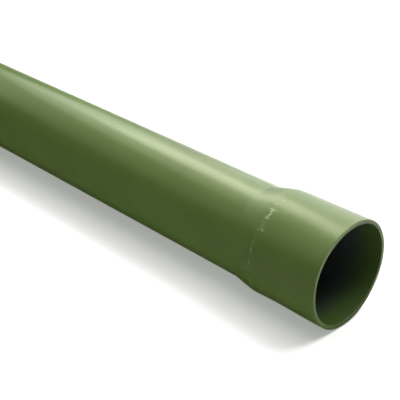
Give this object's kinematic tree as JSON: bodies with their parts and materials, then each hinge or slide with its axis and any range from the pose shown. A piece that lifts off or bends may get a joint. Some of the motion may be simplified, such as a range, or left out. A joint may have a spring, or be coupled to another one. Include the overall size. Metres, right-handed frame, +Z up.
{
  "type": "pvc electrical conduit",
  "caption": "Length of rigid PVC electrical conduit: a round extruded pipe, plain at one end and formed into a socket with a sloped shoulder at the other.",
  "frame": {"origin": "centre of the socket's mouth, on the axis", "axes": "+X along the axis and out of the socket, with the pipe running back along -X; +Z up"},
  "size_m": [3, 0.066, 0.0662],
  "materials": {
    "pvc": "olive-green extruded rigid PVC, semi-gloss, with faint lengthwise die lines"
  },
  "bodies": {
    "root": {"conduit": "pvc"}
  },
  "joints": []
}
